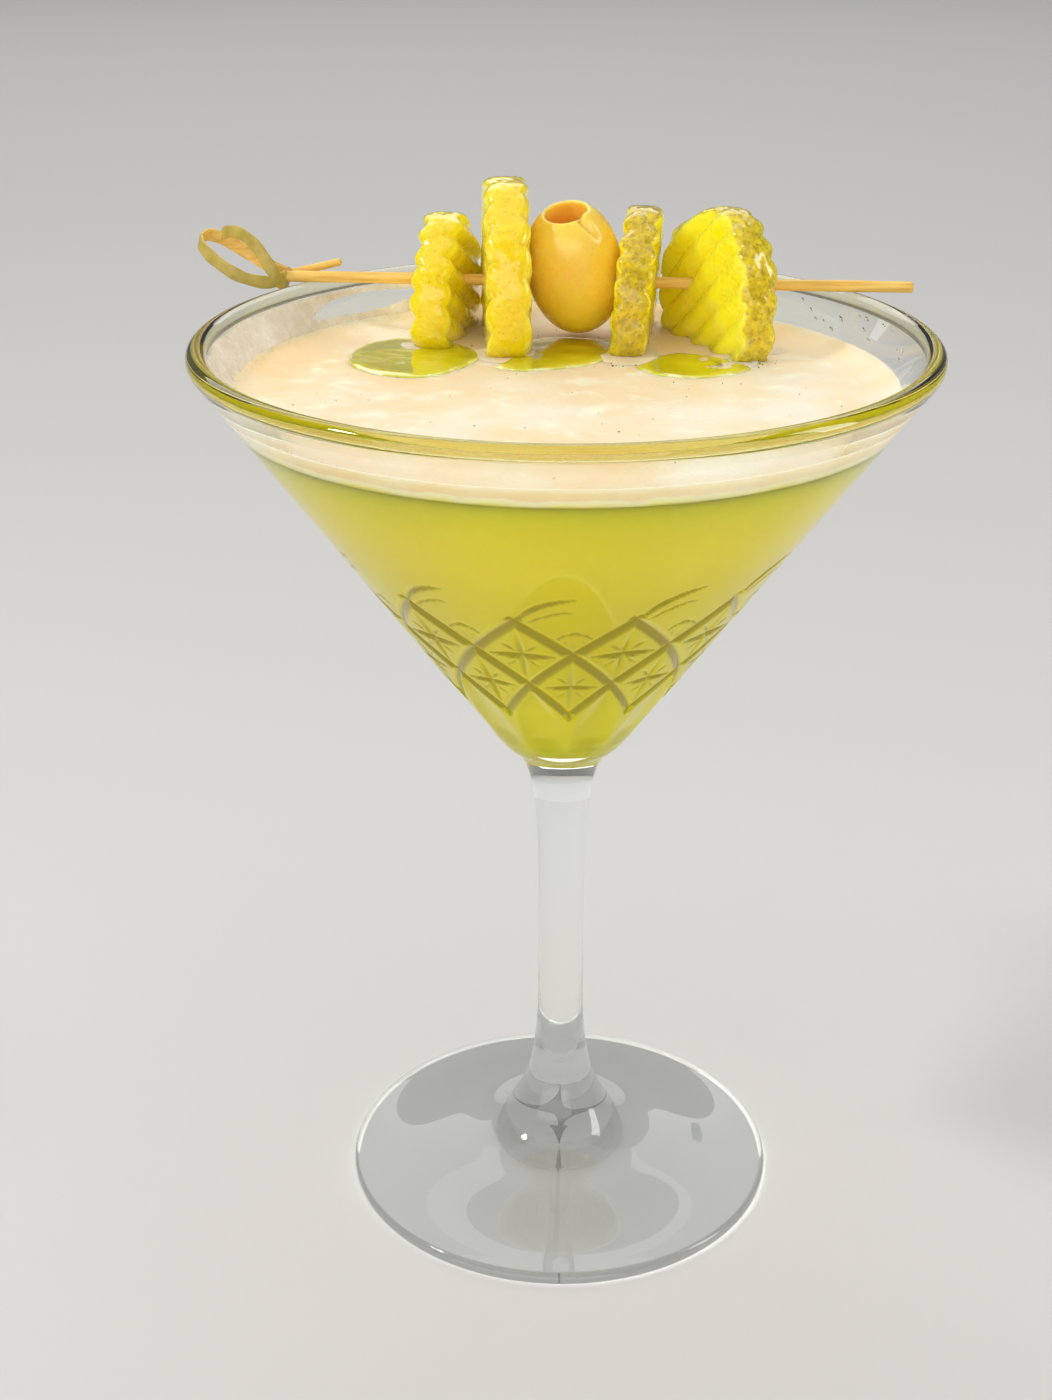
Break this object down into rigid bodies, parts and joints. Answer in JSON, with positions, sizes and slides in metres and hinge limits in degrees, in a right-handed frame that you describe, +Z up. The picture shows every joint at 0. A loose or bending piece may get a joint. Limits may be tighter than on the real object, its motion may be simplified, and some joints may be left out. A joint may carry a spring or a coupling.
{
  "type": "martini cocktail",
  "caption": "Green cocktail with pale foam in a stemmed cone glass, garnished with pickle slices and an olive on a knotted bamboo pick.",
  "frame": {"origin": "centre of the foot's flat underside", "axes": "+Z up along the stem; -Y towards the viewer, with the pick laid across the back of the rim; +X to the viewer's right, where the pick's plain end points"},
  "size_m": [0.1205, 0.116, 0.1702],
  "materials": {
    "glass": "clear, polished, with a moulded cut pattern",
    "drink": "cloudy yellow-green liquid",
    "foam": "fine cream foam, damp",
    "bamboo": "smooth split bamboo",
    "olive": "wet, waxy skin",
    "pickle": "wet, translucent flesh and skin"
  },
  "bodies": {
    "root": {"glass": "glass", "drink": "drink", "foam": "foam", "pick": "bamboo", "olive": "olive", "pickle_1": "pickle", "pickle_2": "pickle", "pickle_3": "pickle", "pickle_4": "pickle"}
  },
  "joints": []
}
